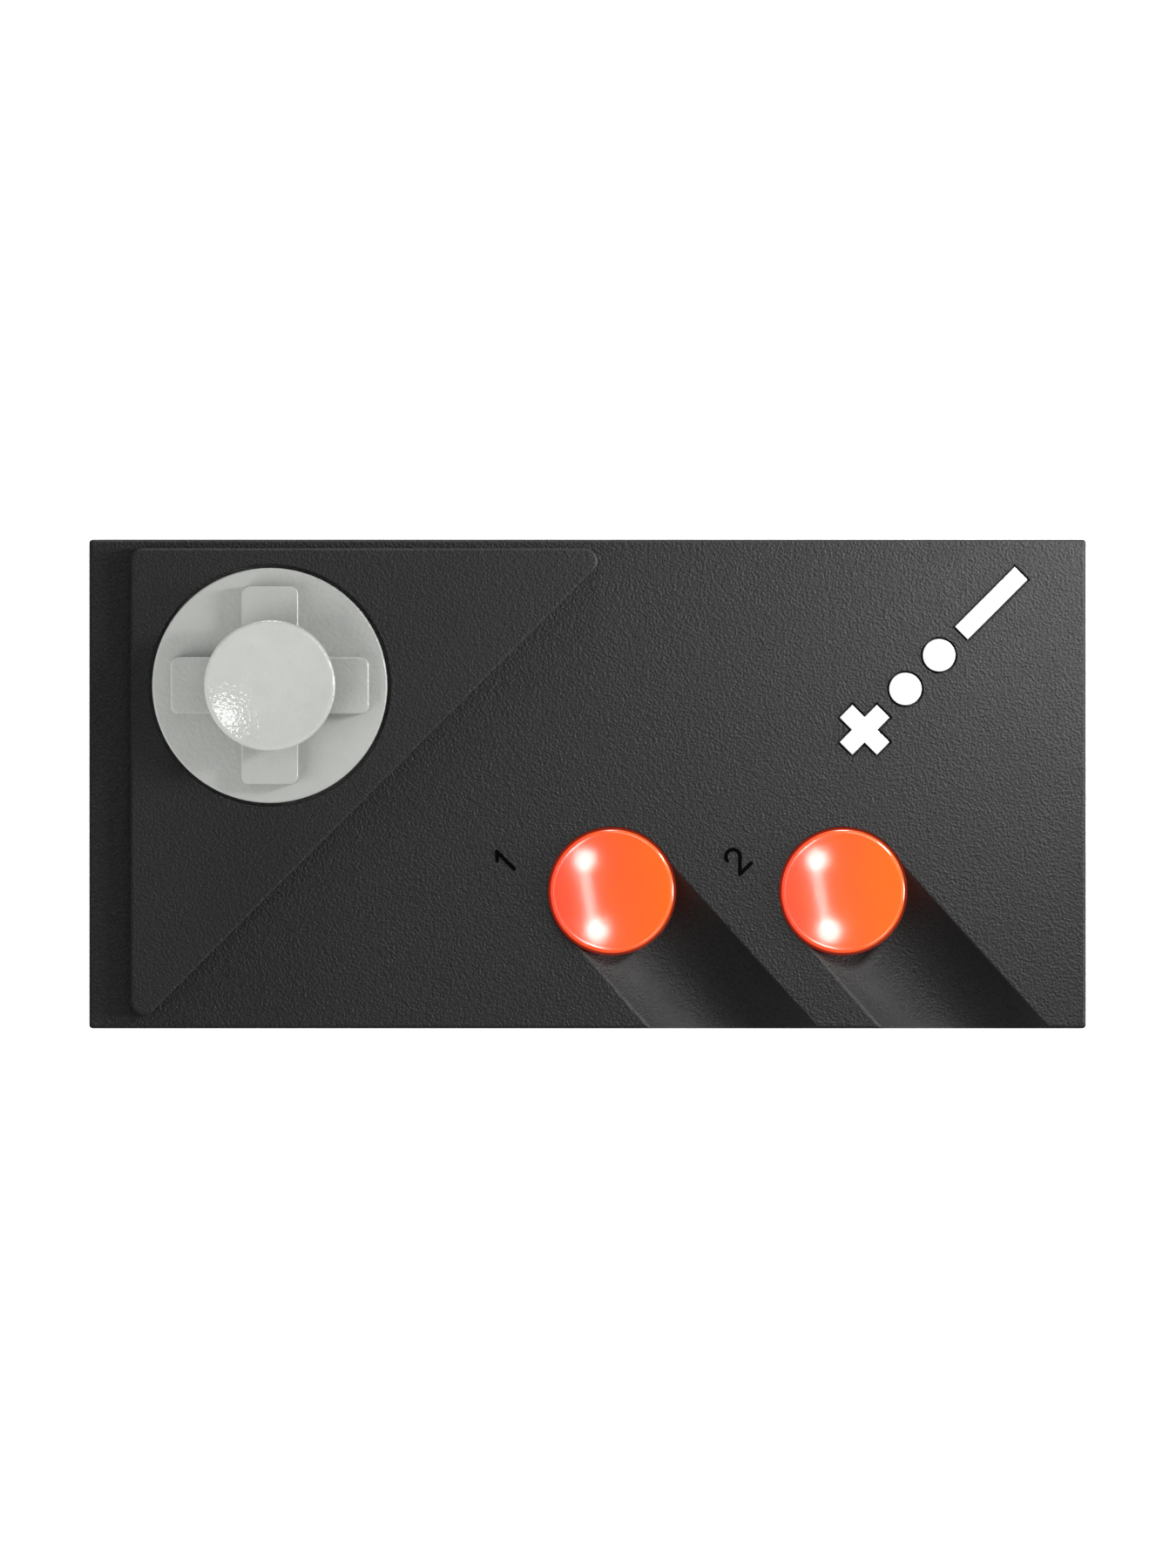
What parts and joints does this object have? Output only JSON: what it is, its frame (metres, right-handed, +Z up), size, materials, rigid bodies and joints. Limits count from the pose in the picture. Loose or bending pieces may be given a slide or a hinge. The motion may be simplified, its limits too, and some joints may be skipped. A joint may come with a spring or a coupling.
{
  "type": "game controller",
  "caption": "Flat wireless game controller with a rocking direction pad, a screw-in thumb stick, dished fire buttons at the heads of sloping thumb channels, edge keys and a charging socket.",
  "frame": {"origin": "on the table, under the middle of the case", "axes": "+X to the player's right along the case's long side, +Y away from the player, +Z up out of the deck"},
  "size_m": [0.138, 0.0676, 0.0282],
  "materials": {
    "case": "fine moulded grain",
    "foot": "matt",
    "silicone": "matt",
    "board": "solder mask",
    "chip": "matt",
    "steel": "plated",
    "brass": "turned",
    "battery": "laminated film",
    "foam": "closed-cell foam",
    "connector": "natural nylon",
    "lead_red": "sleeving",
    "lead_black": "sleeving",
    "clear": "clear moulded",
    "mark": "smooth",
    "seat": "low-friction acetal",
    "pad": "orange-peel moulded",
    "cap": "polished dish",
    "fire": "translucent, polished"
  },
  "bodies": {
    "housing": {"top_cover": "case", "bottom_cover": "case", "case_screw_1": "steel", "case_screw_2": "steel", "case_screw_3": "steel", "case_screw_4": "steel", "foot_1": "foot", "foot_2": "foot", "foot_3": "foot", "foot_4": "foot", "main_board": "board", "board_screw_1": "steel", "board_screw_2": "steel", "board_screw_3": "steel", "board_screw_4": "steel", "dpad_mat": "silicone", "fire_mat_1": "silicone", "fire_mat_2": "silicone", "battery_pack": "battery", "battery_foam": "foam", "battery_socket": "connector", "battery_plug": "connector", "lead_red": "lead_red", "lead_black": "lead_black", "radio_shield": "steel", "processor": "chip", "charger_chip": "chip", "usb_shell": "steel", "usb_tongue": "chip", "power_switch": "steel", "menu_switch": "steel", "status_led": "connector", "light_pipe": "clear", "mark_cross": "mark", "mark_dot_1": "mark", "mark_dot_2": "mark", "mark_bar": "mark"},
    "dpad_seat": {"pivot_seat": "seat"},
    "dpad": {"dpad_disc": "pad", "stick_insert": "brass"},
    "thumb_stick": {"stick_cap": "cap", "stick_stud": "steel"},
    "fire_1": {"fire_button_1": "fire"},
    "fire_2": {"fire_button_2": "fire"},
    "power_push": {"power_key": "case"},
    "menu_push": {"menu_key": "case"}
  },
  "joints": [
    {"name": "dpad_tilt_x", "type": "hinge", "parent": "housing", "child": "dpad_seat", "pos_m": [-0.044, 0.01365, 0.0202], "axis": [1, 0, 0], "range_deg": [-5, 5], "stiffness_Nm_per_rad": 0.12, "deforming": ["dpad_mat"]},
    {"name": "dpad_tilt_y", "type": "hinge", "parent": "dpad_seat", "child": "dpad", "pos_m": [-0.044, 0.01365, 0.0202], "axis": [0, 1, 0], "range_deg": [-5, 5], "stiffness_Nm_per_rad": 0.12},
    {"name": "stick_lift", "type": "slide", "parent": "dpad", "child": "thumb_stick", "axis": [0, 0, 1], "range_m": [0, 0.012]},
    {"name": "fire_1_press", "type": "slide", "parent": "housing", "child": "fire_1", "axis": [0, 0, -1], "range_m": [0, 0.0012], "stiffness_N_per_m": 500, "springref_m": -0.0008, "deforming": ["fire_mat_1"]},
    {"name": "fire_2_press", "type": "slide", "parent": "housing", "child": "fire_2", "axis": [0, 0, -1], "range_m": [0, 0.0012], "stiffness_N_per_m": 500, "springref_m": -0.0008, "deforming": ["fire_mat_2"]},
    {"name": "power_press", "type": "slide", "parent": "housing", "child": "power_push", "axis": [0, -1, 0], "range_m": [0, 0.0006], "stiffness_N_per_m": 800, "springref_m": -0.0005},
    {"name": "menu_press", "type": "slide", "parent": "housing", "child": "menu_push", "axis": [0, -1, 0], "range_m": [0, 0.0006], "stiffness_N_per_m": 800, "springref_m": -0.0005}
  ]
}
